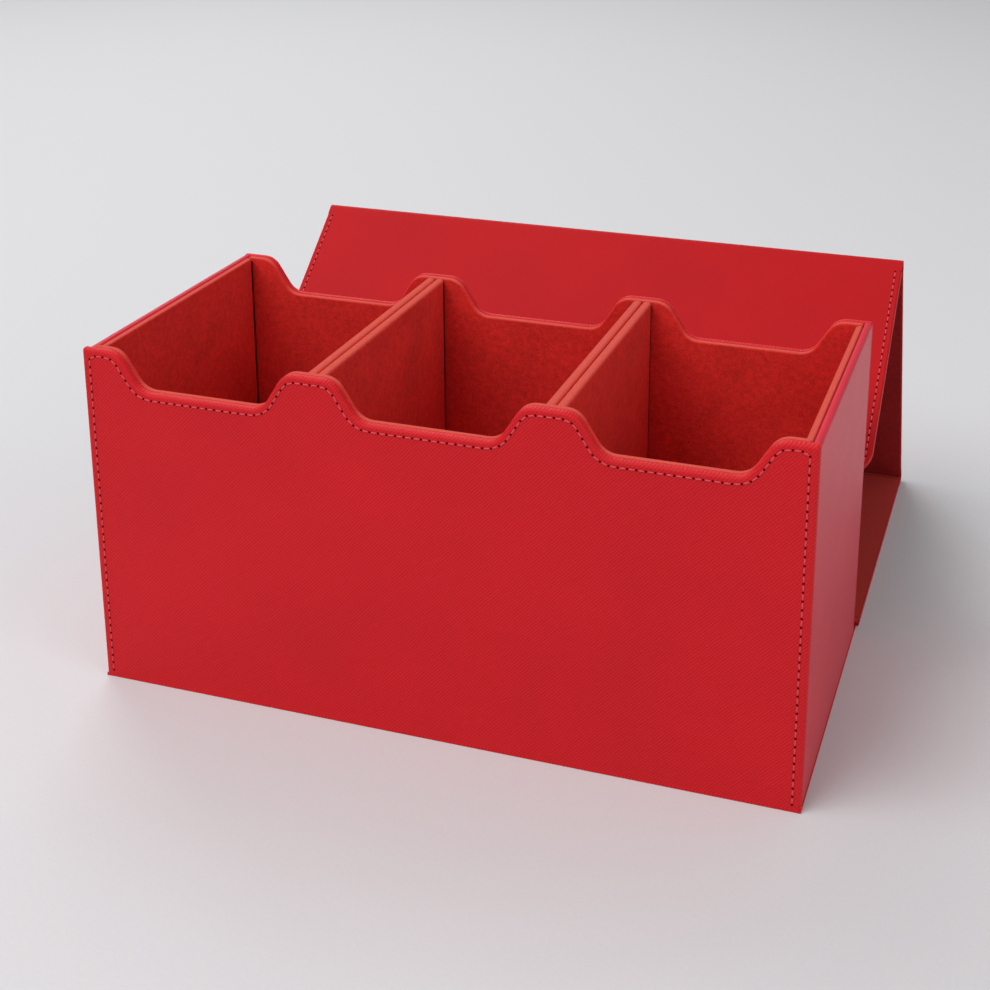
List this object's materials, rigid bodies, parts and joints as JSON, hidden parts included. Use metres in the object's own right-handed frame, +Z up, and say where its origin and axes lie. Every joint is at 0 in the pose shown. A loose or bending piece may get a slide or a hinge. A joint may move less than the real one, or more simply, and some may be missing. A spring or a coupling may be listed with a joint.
{
  "type": "card deck box",
  "caption": "Red leatherette card deck box: open tray with three suede-lined compartments and a folding cover strip opened out behind it.",
  "frame": {"origin": "centre of the tray's underside", "axes": "+Z up out of the compartments, +X to the right seen from the front, -Y to the front"},
  "size_m": [0.242, 0.2433, 0.12],
  "materials": {
    "leatherette": "cross-grained PU leatherette, low sheen",
    "suede": "microfibre suede",
    "greyboard": "matt greyboard, hidden inside the covers",
    "magnet": "plated disc magnet, hidden"
  },
  "bodies": {
    "tray": {"back_board": "greyboard", "back_hinge_core": "suede", "back_leather": "leatherette", "back_lining_board": "greyboard", "back_lining_suede": "suede", "bottom_board": "greyboard", "bottom_leather": "leatherette", "divider_1_left_board": "greyboard", "divider_1_left_suede": "suede", "divider_1_right_board": "greyboard", "divider_1_right_suede": "suede", "divider_2_left_board": "greyboard", "divider_2_left_suede": "suede", "divider_2_right_board": "greyboard", "divider_2_right_suede": "suede", "floor_pad_left_board": "greyboard", "floor_pad_left_suede": "suede", "floor_pad_middle_board": "greyboard", "floor_pad_middle_suede": "suede", "floor_pad_right_board": "greyboard", "floor_pad_right_suede": "suede", "front_board": "greyboard", "front_leather": "leatherette", "front_lining_board": "greyboard", "front_lining_suede": "suede", "front_magnet_left": "magnet", "front_magnet_right": "magnet", "left_board": "greyboard", "left_leather": "leatherette", "left_lining_board": "greyboard", "left_lining_suede": "suede", "right_board": "greyboard", "right_leather": "leatherette", "right_lining_board": "greyboard", "right_lining_suede": "suede"},
    "back_panel": {"back_panel_board": "greyboard", "back_panel_leather": "leatherette", "back_panel_suede": "suede", "top_hinge_core": "suede"},
    "top_panel": {"flap_hinge_core": "suede", "top_panel_board": "greyboard", "top_panel_leather": "leatherette", "top_panel_suede": "suede"},
    "front_flap": {"flap_board": "greyboard", "flap_leather": "leatherette", "flap_magnet_left": "magnet", "flap_magnet_right": "magnet", "flap_suede": "suede"}
  },
  "joints": [
    {"name": "back_panel_hinge", "type": "hinge", "parent": "tray", "child": "back_panel", "pos_m": [0, 0.0578, 0.0034], "axis": [1, 0, 0], "range_deg": [0, 81]},
    {"name": "top_panel_hinge", "type": "hinge", "parent": "back_panel", "child": "top_panel", "pos_m": [0, 0.18493, 0.0034], "axis": [1, 0, 0], "range_deg": [-115, 0]},
    {"name": "front_flap_hinge", "type": "hinge", "parent": "top_panel", "child": "front_flap", "pos_m": [0, 0.1331, 0.11305], "axis": [1, 0, 0], "range_deg": [0, 65]}
  ],
  "couplings": [
    {"joint": "back_panel_hinge", "follows": "top_panel_hinge", "ratio": -0.7}
  ]
}
